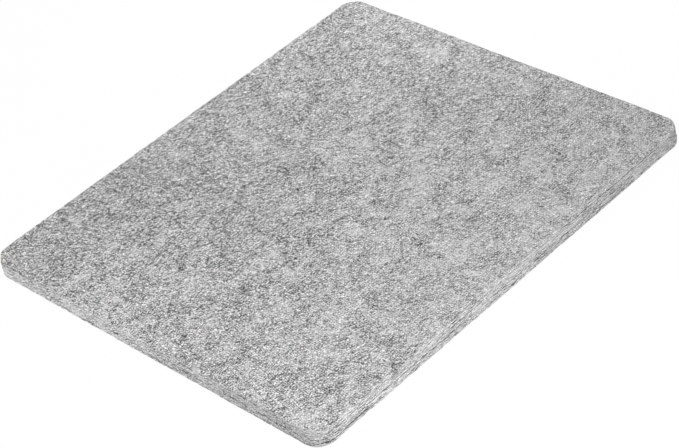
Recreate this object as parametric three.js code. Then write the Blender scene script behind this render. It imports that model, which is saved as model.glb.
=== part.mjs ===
// A wool pressing mat: a slab of grey pressed-wool felt that cloth is ironed on.
// Felt plies of one outline lie on each other, needled fibre into fibre, and are die-cut as one pile.
// The pile shows a seam round its edge between each two plies. No glue, cover, binding or stitching is in it.
// Millimetres, +Z up. The origin is the middle of the underside, and +X runs along the mat's longer side.

import * as THREE from "three";

// Driving dimensions of the outline and its cut edge
const MAT_LENGTH = 355.6;
const MAT_WIDTH = 304.8;
const CORNER_RADIUS = 13;
const SEAM_GAP = 0.05; // hairline left between two plies
const DIE_DRAFT = 0.12; // each ply is cut this much smaller, all round, than the ply under it
const EDGE_EASE = 0.5; // the die rounds the cut edge of each ply over by this much

// Thickness of each ply, from the table upwards
const BOTTOM_PLY = 1.7;
const LOWER_PLY = 3.3;
const MIDDLE_PLY = 3;
const UPPER_PLY = 2.3;
const TOP_PLY = 2.2;

// Facets
const CORNER_SEGMENTS = 6;
const EASE_SEGMENTS = 3;
const LARGEST_EASE_SHARE = 0.4; // of a ply's thickness, so that its edge keeps an upright band

// Finish: undyed grey wool, heathered from pale and dark fleece
const FELT_GREY = 0xb1b1b1;
const FELT_ROUGHNESS = 0.95;

// A rectangle with round corners, centred on the origin.
function roundedRectangle(length, width, radius) {
  const x = length / 2;
  const y = width / 2;
  const quarter = Math.PI / 2;
  const outline = new THREE.Shape();
  outline.moveTo(-x + radius, -y);
  outline.lineTo(x - radius, -y);
  outline.absarc(x - radius, -y + radius, radius, -quarter, 0);
  outline.lineTo(x, y - radius);
  outline.absarc(x - radius, y - radius, radius, 0, quarter);
  outline.lineTo(-x + radius, y);
  outline.absarc(-x + radius, y - radius, radius, quarter, 2 * quarter);
  outline.lineTo(-x, -y + radius);
  outline.absarc(-x + radius, -y + radius, radius, 2 * quarter, 3 * quarter);
  return outline;
}

// One ply on the table: a flat sheet of felt whose cut edge is upright and rounds over to both faces.
function plyGeometry(thickness, setback) {
  const ease = Math.min(EDGE_EASE, LARGEST_EASE_SHARE * thickness);
  const outline = roundedRectangle(
    MAT_LENGTH - 2 * setback,
    MAT_WIDTH - 2 * setback,
    CORNER_RADIUS - setback,
  );
  const sheet = new THREE.ExtrudeGeometry(outline, {
    depth: thickness - 2 * ease,
    curveSegments: CORNER_SEGMENTS,
    bevelThickness: ease,
    bevelSize: ease,
    bevelOffset: -ease,
    bevelSegments: EASE_SEGMENTS,
  });
  return sheet.translate(0, 0, ease);
}

const mat = new THREE.Group();
let height = 0;
let setback = 0;

// Lays one more ply on the pile.
function layPly(name, thickness) {
  const felt = new THREE.MeshStandardMaterial({
    color: FELT_GREY,
    roughness: FELT_ROUGHNESS,
    metalness: 0,
  });
  const ply = new THREE.Mesh(plyGeometry(thickness, setback), felt);
  ply.name = name;
  ply.position.z = height;
  mat.add(ply);
  height += thickness + SEAM_GAP;
  setback += DIE_DRAFT;
}

layPly("bottom_ply", BOTTOM_PLY);
layPly("lower_ply", LOWER_PLY);
layPly("middle_ply", MIDDLE_PLY);
layPly("upper_ply", UPPER_PLY);
layPly("top_ply", TOP_PLY);

export default mat;
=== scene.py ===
import math

import bpy
import numpy as np
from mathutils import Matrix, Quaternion, Vector


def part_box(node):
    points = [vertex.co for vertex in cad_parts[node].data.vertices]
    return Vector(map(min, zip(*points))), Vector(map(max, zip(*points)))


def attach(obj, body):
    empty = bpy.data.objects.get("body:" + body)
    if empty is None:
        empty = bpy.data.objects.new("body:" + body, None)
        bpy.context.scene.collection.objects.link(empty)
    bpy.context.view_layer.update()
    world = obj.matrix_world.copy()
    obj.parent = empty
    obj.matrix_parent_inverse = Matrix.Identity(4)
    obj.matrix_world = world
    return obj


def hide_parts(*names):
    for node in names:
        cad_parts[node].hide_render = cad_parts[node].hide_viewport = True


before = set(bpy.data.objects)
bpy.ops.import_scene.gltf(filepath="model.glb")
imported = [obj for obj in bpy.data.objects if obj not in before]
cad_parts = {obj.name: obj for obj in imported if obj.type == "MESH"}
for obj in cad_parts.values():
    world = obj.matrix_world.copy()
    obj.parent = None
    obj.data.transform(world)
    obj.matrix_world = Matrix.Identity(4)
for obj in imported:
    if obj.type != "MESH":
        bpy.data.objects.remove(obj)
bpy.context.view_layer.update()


# Bottom ply: the thin felt that lies on the table and carries the pile.
# Carded pale and dark wool, pressed hard into a sheet, with fibres needled up into the ply above.
# The die that cuts the pile leaves a soft upright edge, and the seam to the next ply wanders along it.

MM = 0.001
CORNER_RADIUS = 13 * MM
FACE_STEP = 1.3 * MM
TABLE_RIM = 0.4 * MM
BOTTOM_SEED = 1

# The lip on each side of a seam: its mean height, how far it varies, its limits, and its depth for each
# step of height.
SEAM_EASE = 0.22 * MM
SEAM_EASE_SPREAD = 0.16 * MM
LEAST_EASE = 0.06 * MM
MOST_EASE = 0.5 * MM
SEAM_REACH = 2.2

# How far felt strays from a true sheet: a seam up and down, a whole ply in and out, its edge and its face.
SEAM_WANDER = 0.16 * MM
PLY_DRIFT = 0.12 * MM
EDGE_RELIEF = 0.1 * MM
FACE_RELIEF = 0.05 * MM

# The shortest and the longest wave of each of these, and how many times closer the edge's lie in height.
WANDER_WAVES = (16 * MM, 80 * MM)
EASE_WAVES = (10 * MM, 60 * MM)
DRIFT_WAVES = (25 * MM, 140 * MM)
EDGE_WAVES = (3 * MM, 14 * MM)
FACE_WAVES = (3.5 * MM, 18 * MM)
PLY_LAYERING = 2.2

# Each seam is named for the ply above it and has a seed of its own. The rest is added to a seam's or a
# ply's seed for the other waves that it needs.
SEAM_SEEDS = {"lower_ply": 11, "middle_ply": 12, "upper_ply": 13, "top_ply": 14}
EASE_SEED = 100
DRIFT_SEED = 200
EDGE_SEED = 300
FACE_SEED = 400

# Stretches where a seam stands open: the seam, the middle of the stretch, its reach along the outline,
# its share of a full slot, and how far the seam rises there.
OPEN_SEAMS = [
    ("lower_ply", (-143 * MM, -152 * MM), 12 * MM, 1.0, 0.5 * MM),
    ("lower_ply", (-170 * MM, -148 * MM), 6 * MM, 0.3, 0.2 * MM),
    ("upper_ply", (166 * MM, -152 * MM), 14 * MM, 0.12, 0.0 * MM),
    ("top_ply", (-178 * MM, 124 * MM), 14 * MM, 0.65, 0.6 * MM),
]
SLOT_HEIGHT = 1.1 * MM
SLOT_DEPTH = 1.8 * MM
# How deep into a seam the painted shade grows to most of its strength.
PAINTED_SHADE_DEPTH = 0.75 * MM

ARC_POINTS = 7
UPRIGHT_POINTS = 6


def felt_waves(points, span, seed, layering=1.0, count=64):
    """Unevenness of felt, of mean 0 and standard deviation 1, at an array of points.

    It is a sum of plane waves of random direction and phase, with wavelengths spread evenly in octaves over
    the span. Above 1, layering packs the waves more closely in height, as plies of wool lie.
    """
    dice = np.random.default_rng(seed)
    directions = dice.normal(size=(count, 3))
    directions /= np.linalg.norm(directions, axis=1, keepdims=True)
    shortest, longest = span
    wavelengths = shortest * (longest / shortest) ** dice.random(count)
    vectors = 2 * np.pi * directions / wavelengths[:, None] * (1, 1, layering)
    phases = dice.uniform(0, 2 * np.pi, count)
    return np.cos(points @ vectors.T + phases).sum(axis=-1) * math.sqrt(2 / count)


def round_corners(x, y, half, radius):
    """Moves points of a rectangle onto the same rectangle with round corners.

    In each corner's square of one radius the point (p, q), from 0 to 1, goes to the quarter disc as
    (p sqrt(1 - q^2 / 2), q sqrt(1 - p^2 / 2)), which leaves the square's inner sides where they are.
    Returns the moved points and, for points on the border, the outward direction there.
    """
    flat_x, flat_y = half[0] - radius, half[1] - radius
    p = np.clip((np.abs(x) - flat_x) / radius, 0, 1)
    q = np.clip((np.abs(y) - flat_y) / radius, 0, 1)
    out_x = np.sign(x) * p * np.sqrt(1 - q**2 / 2)
    out_y = np.sign(y) * q * np.sqrt(1 - p**2 / 2)
    moved_x = np.clip(x, -flat_x, flat_x) + radius * out_x
    moved_y = np.clip(y, -flat_y, flat_y) + radius * out_y
    return np.stack([moved_x, moved_y], axis=-1), np.stack([out_x, out_y], axis=-1)


def sheet_grid(half, step):
    """The points of a rectangle's grid, about one step apart, and the numbers of its border points.

    The border goes once round, from the lowest corner along x first.
    """
    across = np.linspace(-half[0], half[0], round(2 * half[0] / step) + 1)
    along = np.linspace(-half[1], half[1], round(2 * half[1] / step) + 1)
    x, y = np.meshgrid(across, along, indexing="ij")
    number = np.arange(x.size).reshape(x.shape)
    border = np.concatenate([number[:-1, 0], number[-1, :-1], number[:0:-1, -1], number[0, :0:-1]])
    return x, y, border


def seam_lines(place, seam, overhang):
    """How a seam runs at places in plan: its rise above its own level, and the height and depth of its lip.

    Each is a slow wave, and where the seam stands open a bell curve along the outline is added: the ply
    above the seam overhangs there, and the one below it keeps a thin lip.
    """
    flat = np.concatenate([place, np.zeros_like(place[..., :1])], axis=-1)
    seed = SEAM_SEEDS[seam]
    rise = SEAM_WANDER * felt_waves(flat, WANDER_WAVES, seed)
    lip = SEAM_EASE + SEAM_EASE_SPREAD * felt_waves(flat, EASE_WAVES, seed + EASE_SEED)
    lip = np.clip(lip, LEAST_EASE, MOST_EASE)
    depth = SEAM_REACH * lip
    for open_seam, middle, reach, full, lift in OPEN_SEAMS:
        if open_seam == seam:
            bell = np.exp(-((np.linalg.norm(place - middle, axis=-1) / reach) ** 2))
            rise = rise + lift * bell
            depth = depth + SLOT_DEPTH * full * bell
            widening = SLOT_HEIGHT if overhang else LEAST_EASE - lip
            lip = lip + widening * full * bell
    return rise, lip, depth


def rim_lines(place, radius):
    """The same three values for an outer rim of one radius."""
    even = np.ones(len(place))
    return 0 * even, radius * even, radius * even


def edge_profile(floor, low_lines, roof, high_lines):
    """The profile of a cut edge at each place on the outline: how far in, how high and how far tilted up.

    It is a quarter ellipse out of the lower face, an upright, and a quarter ellipse into the upper face.
    """
    rise_low, lip_low, depth_low = low_lines
    rise_high, lip_high, depth_high = high_lines
    arc = np.linspace(0, math.pi / 2, ARC_POINTS)[:, None]
    share = np.linspace(0, 1, UPRIGHT_POINTS + 2)[1:-1, None]
    level = np.zeros_like(rise_low)
    into_low = depth_low * (np.cos(arc) - 1)
    into_high = depth_high * (np.cos(arc) - 1)
    low_height = floor + rise_low + lip_low * (1 - np.sin(arc))
    high_height = roof + rise_high - lip_high * (1 - np.sin(arc))
    upright = (1 - share) * low_height[0] + share * high_height[0]
    inset = np.concatenate([into_low[::-1], share * level, into_high])
    height = np.concatenate([low_height[::-1], upright, high_height])
    tilt = np.concatenate([level - arc[::-1], share * level, level + arc])
    return inset, height, tilt


def quads_between(lower, upper):
    """Faces between two closed rows of vertex numbers, the lower one first, that look outwards."""
    return np.stack([lower, np.roll(lower, -1), np.roll(upper, -1), upper], axis=-1)


def close_with_grid(row, points, shape, border, first):
    """Closes a row of vertices with a grid that has the row as its border.

    Returns the new vertices, whose numbers begin at first, and the faces, which look up.
    """
    inside = np.ones(len(points), bool)
    inside[border] = False
    numbers = np.empty(len(points), int)
    numbers[border] = row
    numbers[inside] = first + np.arange(inside.sum())
    net = numbers.reshape(shape)
    cells = np.stack([net[:-1, :-1], net[1:, :-1], net[1:, 1:], net[:-1, 1:]], axis=-1)
    return points[inside], cells.reshape(-1, 4)


def felt_ply(name, under, over, step, rims=(0, 0), faces=(False, False), seed=0):
    """One felt ply as a closed mesh, from the box of the CAD node of that name.

    The edge profile is carried once round the outline, and waves move every point along its normal.
    under and over name the seams that the ply lies between. None is an outside, and rims its rounding.
    A face that shows is a grid of the step, and a hidden one closes on its middle.
    The attribute cut_edge is 1 on the cut edge and 0 on a face, and a second attribute, the share of painted
    seam shade, goes from 0 to 1 into a seam.
    """
    low, high = (np.array(corner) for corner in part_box(name))
    half = (high - low)[:2] / 2
    grid_x, grid_y, border = sheet_grid(half, step)
    outline, outward = round_corners(grid_x.ravel()[border], grid_y.ravel()[border], half, CORNER_RADIUS)
    level = np.concatenate([outline, np.zeros((len(outline), 1))], axis=1)

    low_lines = seam_lines(outline, under, True) if under else rim_lines(outline, rims[0])
    high_lines = seam_lines(outline, over, False) if over else rim_lines(outline, rims[1])
    inset, height, tilt = edge_profile(low[2], low_lines, high[2], high_lines)

    drift = PLY_DRIFT * felt_waves(level, DRIFT_WAVES, seed + DRIFT_SEED)
    place = outline + (inset + drift)[..., None] * outward
    points = np.concatenate([place, height[..., None]], axis=-1)
    normal = np.concatenate([np.cos(tilt)[..., None] * outward, np.sin(tilt)[..., None]], axis=-1)
    relief = EDGE_RELIEF * felt_waves(points, EDGE_WAVES, seed + EDGE_SEED, layering=PLY_LAYERING)
    edge = points + (relief * np.cos(tilt) ** 2)[..., None] * normal
    outside = ((tilt < 0) & (under is None)) | ((tilt > 0) & (over is None))
    cut_edge = np.where(outside, np.cos(tilt) ** 2, 1.0)
    # Painted shade: from 0 at a seam's mouth to 1 deep inside it, where shade falls.
    painted_seam_shading = np.where(outside, 0.0, 1 - np.exp(-((inset / PAINTED_SHADE_DEPTH) ** 2)))

    rows = np.arange(tilt.size).reshape(tilt.shape)
    vertices = [edge.reshape(-1, 3)]
    sides = [quads_between(row, next_row) for row, next_row in zip(rows[:-1], rows[1:])]
    polygons = np.concatenate(sides).tolist()
    used = rows.size
    for upwards, row in ((False, rows[0]), (True, rows[-1])):
        face_height = (high if upwards else low)[2]
        if faces[int(upwards)]:
            rim = rims[int(upwards)]
            inner = half - rim
            spread = inner / half
            plan, _ = round_corners(grid_x * spread[0], grid_y * spread[1], inner, CORNER_RADIUS - rim)
            face = np.concatenate([plan.reshape(-1, 2), np.full((grid_x.size, 1), face_height)], axis=1)
            waves = FACE_RELIEF * felt_waves(face, FACE_WAVES, seed + FACE_SEED)
            face[:, 2] += np.minimum(waves, 0) if upwards else np.maximum(waves, 0)
            added, closing = close_with_grid(row, face, grid_x.shape, border, used)
        else:
            added = np.array([[0, 0, face_height]])
            closing = np.stack([row, np.roll(row, -1), np.full(len(row), used)], axis=-1)
        vertices.append(added)
        used += len(added)
        polygons += (closing if upwards else closing[:, ::-1]).tolist()

    mesh = bpy.data.meshes.new(name + "_felt")
    mesh.from_pydata(np.concatenate(vertices).tolist(), [], polygons)
    mesh.shade_smooth()
    for attribute, edge_values in (("cut_edge", cut_edge), ("painted_seam_shading", painted_seam_shading)):
        values = np.zeros(used, np.float32)
        values[: rows.size] = edge_values.ravel()
        mesh.attributes.new(attribute, "FLOAT", "POINT").data.foreach_set("value", values)
    mesh.update()
    ply = bpy.data.objects.new(name + "_felt", mesh)
    bpy.context.scene.collection.objects.link(ply)
    return ply


class Wire:
    """An output socket in a node tree. Arithmetic on wires adds Math nodes to the tree."""

    def __init__(self, tree, socket=None):
        self.tree = tree
        self.socket = socket

    def node(self, kind, settings, sockets, output=0):
        """Adds a node of this kind: its settings first, then a value or a link for each socket named."""
        made = self.tree.nodes.new(kind)
        for name, value in settings.items():
            setattr(made, name, value)
        for name, value in sockets.items():
            if isinstance(value, Wire):
                self.tree.links.new(value.socket, made.inputs[name])
            else:
                made.inputs[name].default_value = value
        return Wire(self.tree, made.outputs[output] if made.outputs else None)

    def math(self, operation, first, second):
        return self.node("ShaderNodeMath", {"operation": operation}, {0: first, 1: second})

    def dot(self, vector):
        operation = {"operation": "DOT_PRODUCT"}
        return self.node("ShaderNodeVectorMath", operation, {0: self, 1: vector}, output="Value")

    def __add__(self, other):
        return self.math("ADD", self, other)

    __radd__ = __add__

    def __mul__(self, other):
        return self.math("MULTIPLY", self, other)

    __rmul__ = __mul__

    def __sub__(self, other):
        return self.math("SUBTRACT", self, other)

    def __rsub__(self, other):
        return self.math("SUBTRACT", other, self)

    def __pow__(self, other):
        return self.math("POWER", self, other)


# Tone is the share of full white as the eye sees it, and GAMMA turns it into reflected light.
FELT_TONE = 0.671
DARKEST_TONE = 0.05
GAMMA = 2.2
DARK_FLEECE = (0.0, 0.0, 0.0, 1)
PALE_FLEECE = (1.0, 1.0, 1.0, 1)

# Every noise lies about this middle, and one that is stretched begins at a place of its own, by number.
NOISE_MIDDLE = 0.5
NOISE_DETAIL = 1
NOISE_START = np.array((0.3, 0, 0))
NOISE_STEP = np.array((0.1, 0.05, 0.02))
FIRST_STRAND = 10
FIRST_HAIR = 20
FIRST_FLECK = 40

# Mottling of the carded wool: size of the largest patches, the strength of their noise and its distortion.
# The place is where in the noise the mat lies, so that pale and dark clouds fall about as photographed.
MOTTLING = [(100 * MM, 0.11, 0), (26 * MM, 0.22, 0), (13 * MM, 0.26, 1.2), (6.5 * MM, 0.2, 1.2)]
MOTTLING_PLACE = (5.78, 4.02, 0.7)
PATCH_ROUGHNESS = 1

# Fibres that cross on a face: the direction they lie in, in degrees, and the distance from one to the next.
# Noise with cells of the curl's size bends them, by the bend in radians. The skew favours dark fibres.
FIBRES = [
    (-68, 1.65 * MM),
    (-40, 1.75 * MM),
    (-16, 1.75 * MM),
    (10, 1.6 * MM),
    (38, 1.45 * MM),
    (80, 1.5 * MM),
]
FIBRE_LAYER = 2.4 * MM
FIBRE_CURL = (8 * MM, 3.0 * MM, 2.4 * MM)
FIBRE_BEND = 15
FIBRE_STRENGTH = 0.152
EDGE_FIBRE_STRENGTH = 0.075
FIBRE_SKEW = 0.85

# Strands of the cut edge: the distance from one layer of wool to the next, and the slope of the layers.
# They curl and bend as the fibres do.
STRANDS = [(1.6 * MM, 0.2), (2.2 * MM, -0.2), (1.8 * MM, 0.0)]
STRAND_CURL = (14 * MM, 3 * MM, 2.4 * MM)
STRAND_BEND = 12
STRAND_STRENGTH = 0.112

# Single hairs, dark and pale in turn, that lie over the fibres: the direction of each set, in degrees.
# A hair shows where its noise is above the share, and the wool between is paler to balance the dark ones.
HAIRS = [-62, -30, 8, 33, 72, -80, -18, 52, 60, -5]
HAIR_TONES = (-0.24, 0.2)
HAIR_SIZE = (3.0 * MM, 0.36 * MM, 0.32 * MM)
HAIR_SHARE = (0.56, 0.62)
HAIR_BALANCE = 0.06

# Flecks: sparse bundles of dark wool, thicker than a hair, in these directions.
FLECKS = [-65, -10, 25, 75]
FLECK_SIZE = (5 * MM, 0.8 * MM, 0.7 * MM)
FLECK_SHARE = (0.63, 0.73)
FLECK_TONE = -0.25

# The wool is blended more evenly towards one corner: on the way there the fibres fade to this share.
BLEND_WAY = (0.35, -0.94, 0)
BLEND_PLACES = (-150 * MM, 190 * MM)
BLENDED_SHARE = 0.46

# Dark fibres lie in clumps: how much stronger the fibres are for each step of tone a patch is darker.
CLUMPING = 5

# Painted shade in the seams: the share of the tone that is taken away at the bottom of a seam, where shade
# falls.
PAINTED_SEAM_SHADE = 0.88

# The nap: fibres stand up a little as a bump. Wool is matt, with a weak sheen at a low angle.
NAP_HEIGHT = 1.0 * MM
NAP_STRENGTH = 0.1
MATT = 0.95
SPECULAR = 0.15
SHEEN = 0.15
SHEEN_SPREAD = 0.5


def stretched_noise(place, number, angle, size):
    """Noise with cells of this size, turned to an angle in degrees, that begins at a place of its own."""
    laid = place.node(
        "ShaderNodeMapping",
        {"vector_type": "TEXTURE"},
        {
            "Vector": place,
            "Location": (NOISE_START + number * NOISE_STEP).tolist(),
            "Rotation": (0, 0, math.radians(angle)),
            "Scale": size,
        },
    )
    return place.node("ShaderNodeTexNoise", {}, {"Vector": laid, "Scale": 1, "Detail": NOISE_DETAIL})


def above(value, share):
    """0 where the value is under the share's first number, 1 over its second, and a smooth step between."""
    return value.node(
        "ShaderNodeMapRange",
        {"interpolation_type": "SMOOTHSTEP"},
        {"Value": value, "From Min": share[0], "From Max": share[1]},
    )


def bent_waves(place, number, angle, turns, curl, bend):
    """The sine of so many turns a metre along each axis, plus bend times noise stretched along the angle."""
    phase = place.dot([2 * math.pi * turn for turn in turns])
    return place.math("SINE", stretched_noise(place, number, angle, curl) * bend + phase, 0)


def mottled_wool(place):
    """The tone of carded wool: the felt's own, plus strength times noise for each size of patch."""
    layered = place.node(
        "ShaderNodeMapping",
        {},
        {"Vector": place, "Location": MOTTLING_PLACE, "Scale": (1, 1, PLY_LAYERING)},
    )
    tone = FELT_TONE
    for size, strength, distortion in MOTTLING:
        patches = place.node(
            "ShaderNodeTexNoise",
            {},
            {
                "Vector": layered,
                "Scale": 1 / size,
                "Detail": NOISE_DETAIL,
                "Roughness": PATCH_ROUGHNESS,
                "Distortion": distortion,
            },
        )
        tone = (patches - NOISE_MIDDLE) * strength + tone
    return tone


def crossing_fibres(place):
    """The sum of bent waves that each run across the direction a set of fibres lies in."""
    fibres = 0
    for number, (angle, spacing) in enumerate(FIBRES):
        across = math.radians(angle + 90)
        turns = (math.cos(across) / spacing, math.sin(across) / spacing, (-1) ** number / FIBRE_LAYER)
        fibres = bent_waves(place, number, angle, turns, FIBRE_CURL, FIBRE_BEND) + fibres
    return fibres


def layered_strands(place):
    """The sum of bent waves in height, so that strands follow the plies round the cut edge."""
    strands = 0
    for number, (spacing, slope) in enumerate(STRANDS, FIRST_STRAND):
        turns = (slope / spacing, slope / spacing, 1 / spacing)
        strands = bent_waves(place, number, 0, turns, STRAND_CURL, STRAND_BEND) + strands
    return strands


def loose_wool(place):
    """The sum of all hairs and flecks: a tone for each set, where its own noise is above its share."""
    loose = 0
    for number, angle in enumerate(HAIRS):
        noise = stretched_noise(place, number + FIRST_HAIR, angle, HAIR_SIZE)
        loose = above(noise, HAIR_SHARE) * HAIR_TONES[number % 2] + loose
    for number, angle in enumerate(FLECKS, FIRST_FLECK):
        noise = stretched_noise(place, number, angle, FLECK_SIZE)
        loose = above(noise, FLECK_SHARE) * FLECK_TONE + loose
    return loose


def wool_felt():
    """Heathered felt: mottled wool, with fibres that cross on a face and lie in layers on a cut edge.

    The fibres' waves, less a share of their square so that dark ones stand out, are added to the mottling,
    and so are the hairs and flecks. All of them are stronger in dark patches and weaker where the wool is
    well blended. Into a seam the tone is darkened by painted shade.
    """
    material = bpy.data.materials.new("grey_wool_felt")
    material.use_nodes = True
    material.node_tree.nodes.clear()
    place = Wire(material.node_tree).node("ShaderNodeTexCoord", {}, {}, output="Object")
    cut_edge = place.node("ShaderNodeAttribute", {"attribute_name": "cut_edge"}, {}, output="Fac")
    painted_seam_shading = place.node("ShaderNodeAttribute", {"attribute_name": "painted_seam_shading"}, {}, output="Fac")

    mottled = mottled_wool(place)
    blended = 1 - above(place.dot(BLEND_WAY), BLEND_PLACES) * (1 - BLENDED_SHARE)
    contrast = blended * (1 + (FELT_TONE - mottled) * CLUMPING)
    fibres = crossing_fibres(place)
    face_wool = fibres * FIBRE_STRENGTH
    edge_wool = fibres * EDGE_FIBRE_STRENGTH + layered_strands(place) * STRAND_STRENGTH
    wool = (face_wool * (1 - cut_edge) + edge_wool * cut_edge) * contrast
    loose = (loose_wool(place) + HAIR_BALANCE) * contrast
    # Into a seam the tone is darkened: painted shade.
    tone = (mottled + wool - wool * wool * FIBRE_SKEW + loose) * (1 - painted_seam_shading * PAINTED_SEAM_SHADE)
    light = place.math("MAXIMUM", tone, DARKEST_TONE) ** GAMMA
    colour = place.node(
        "ShaderNodeMix", {"data_type": "RGBA"}, {0: light, 6: DARK_FLEECE, 7: PALE_FLEECE}, output=2
    )
    nap = place.node(
        "ShaderNodeBump", {}, {"Height": wool, "Strength": NAP_STRENGTH, "Distance": NAP_HEIGHT}
    )
    felt = place.node(
        "ShaderNodeBsdfPrincipled",
        {},
        {
            "Base Color": colour,
            "Roughness": MATT,
            "Specular IOR Level": SPECULAR,
            "Sheen Weight": SHEEN,
            "Sheen Roughness": SHEEN_SPREAD,
            "Normal": nap,
        },
    )
    place.node("ShaderNodeOutputMaterial", {}, {"Surface": felt})
    return material


felt_material = wool_felt()


def lay(ply, node):
    """Gives a ply its felt, puts it under the root body and hides the CAD node of that name."""
    ply.data.materials.append(felt_material)
    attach(ply, "root")
    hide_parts(node)


bottom = felt_ply(
    "bottom_ply",
    None,
    "lower_ply",
    FACE_STEP,
    rims=(TABLE_RIM, 0),
    faces=(True, False),
    seed=BOTTOM_SEED,
)
lay(bottom, "bottom_ply")


# Lower, middle and upper plies: the body of the mat, of which only the cut edges show.
# The same felt as the bottom ply, each needled to both its neighbours.
# Fine steps along their edges carry the layered, slightly torn look of cut wool.

EDGE_STEP = 0.65 * MM
LOWER_SEED = 2
MIDDLE_SEED = 3
UPPER_SEED = 4

lower = felt_ply("lower_ply", "lower_ply", "middle_ply", EDGE_STEP, seed=LOWER_SEED)
lay(lower, "lower_ply")
middle = felt_ply("middle_ply", "middle_ply", "upper_ply", EDGE_STEP, seed=MIDDLE_SEED)
lay(middle, "middle_ply")
upper = felt_ply("upper_ply", "upper_ply", "top_ply", EDGE_STEP, seed=UPPER_SEED)
lay(upper, "upper_ply")


# Top ply: the felt whose upper side is the pressing face that cloth is ironed on.
# The same wool, with the press's even surface above and a rim rounded by handling.
# It is needled to the ply below and nothing covers it.

FACE_RIM = 0.5 * MM
TOP_SEED = 5

top = felt_ply(
    "top_ply",
    "top_ply",
    None,
    FACE_STEP,
    rims=(0, FACE_RIM),
    faces=(False, True),
    seed=TOP_SEED,
)
lay(top, "top_ply")


# Studio: a white table, an even white surround and four soft lamps round the mat.
# The table and the surround are plain white to the camera, and the table keeps a trace of the mat's shadow.
# The camera stands where the photographer stood, with a long lens and a slight roll.

# Half the table's length in metres, how far it lies under the mat, its tone, the share of a shadow that
# shows on it, and the strength of the surround's light.
TABLE_HALF = 3.0
TABLE_DROP = 0.1 * MM
TABLE_WHITE = 0.8
SHADOW_SHARE = 0.02
SURROUND = 0.42

table_mesh = bpy.data.meshes.new("table")
corner_signs = ((-1, -1), (1, -1), (1, 1), (-1, 1))
corners = [(x * TABLE_HALF, y * TABLE_HALF, -TABLE_DROP) for x, y in corner_signs]
table_mesh.from_pydata(corners, [], [(0, 1, 2, 3)])
table = bpy.data.objects.new("table", table_mesh)
bpy.context.scene.collection.objects.link(table)


def seen_directly(wire):
    """1 for what the camera sees, also in a mirror or through glass, and 0 for light on its way to felt."""
    rays = wire.node("ShaderNodeLightPath", {}, {}).socket.node
    camera, glossy, through = (
        Wire(wire.tree, rays.outputs[kind])
        for kind in ("Is Camera Ray", "Is Glossy Ray", "Is Transmission Ray")
    )
    return camera.math("MAXIMUM", camera.math("MAXIMUM", camera, glossy), through)


table_paint = bpy.data.materials.new("white_table")
table_paint.use_nodes = True
table_paint.node_tree.nodes.clear()
paint = Wire(table_paint.node_tree)
matt = paint.node("ShaderNodeBsdfDiffuse", {}, {"Color": (TABLE_WHITE, TABLE_WHITE, TABLE_WHITE, 1)})
white = paint.node("ShaderNodeEmission", {}, {"Color": (1, 1, 1, 1), "Strength": 1})
white_share = seen_directly(paint) * (1 - SHADOW_SHARE)
mixed = paint.node("ShaderNodeMixShader", {}, {0: white_share, 1: matt, 2: white})
paint.node("ShaderNodeOutputMaterial", {}, {"Surface": mixed})
table_mesh.materials.append(table_paint)

surround = bpy.data.worlds.new("surround")
bpy.context.scene.world = surround
surround.use_nodes = True
surround.node_tree.nodes.clear()
air = Wire(surround.node_tree)
brightness = seen_directly(air) * (1 - SURROUND) + SURROUND
glow = air.node("ShaderNodeBackground", {}, {"Color": (1, 1, 1, 1), "Strength": brightness})
air.node("ShaderNodeOutputWorld", {}, {"Surface": glow})

# Each lamp's place and the point it is turned to, in metres, and its power in watts.
LAMP_SIZE = 0.3
LAMPS = {
    "left_lamp": ((-0.36, 0.1, 0.1), (-0.13, 0.08, 0), 0.47),
    "front_lamp": ((-0.14, -0.45, 0.3), (-0.1, -0.12, 0), 1.45),
    "low_lamp": ((-0.22, -0.45, 0.1), (-0.1, -0.12, 0), 0.3),
    "far_lamp": ((0.257, 0.207, 0.3), (0.12, 0.1, 0), 0.81),
}


def soft_lamp(name, place, aim, watts):
    """A square lamp at a place, turned to a point."""
    lamp = bpy.data.lights.new(name, "AREA")
    lamp.size = LAMP_SIZE
    lamp.energy = watts
    holder = bpy.data.objects.new(name, lamp)
    holder.location = place
    holder.rotation_mode = "QUATERNION"
    holder.rotation_quaternion = (Vector(aim) - Vector(place)).to_track_quat("-Z", "Y")
    holder.visible_camera = False
    bpy.context.scene.collection.objects.link(holder)


for lamp_name, (lamp_place, lamp_aim, lamp_watts) in LAMPS.items():
    soft_lamp(lamp_name, lamp_place, lamp_aim, lamp_watts)

# The camera, fitted to the mat's outline: the point it is turned to, its distance and direction from there,
# its roll, and its lens and sensor in millimetres.
AIM = Vector((-19.94 * MM, -20.09 * MM, 6.15 * MM))
DISTANCE = 1443.9 * MM
AZIMUTH = math.radians(-39.38)
ELEVATION = math.radians(37.82)
ROLL = math.radians(-11.72)
LENS = 116.8
SENSOR = 36.0

back = Vector(
    (
        math.sin(AZIMUTH) * math.cos(ELEVATION),
        -math.cos(AZIMUTH) * math.cos(ELEVATION),
        math.sin(ELEVATION),
    )
)
camera_data = bpy.data.cameras.new("camera")
camera_data.lens = LENS
camera_data.sensor_width = SENSOR
camera = bpy.data.objects.new("camera", camera_data)
camera.location = AIM + DISTANCE * back
camera.rotation_mode = "QUATERNION"
camera.rotation_quaternion = (-back).to_track_quat("-Z", "Y") @ Quaternion((0, 0, 1), ROLL)
bpy.context.scene.collection.objects.link(camera)
bpy.context.scene.camera = camera
bpy.context.scene.view_settings.view_transform = "Standard"
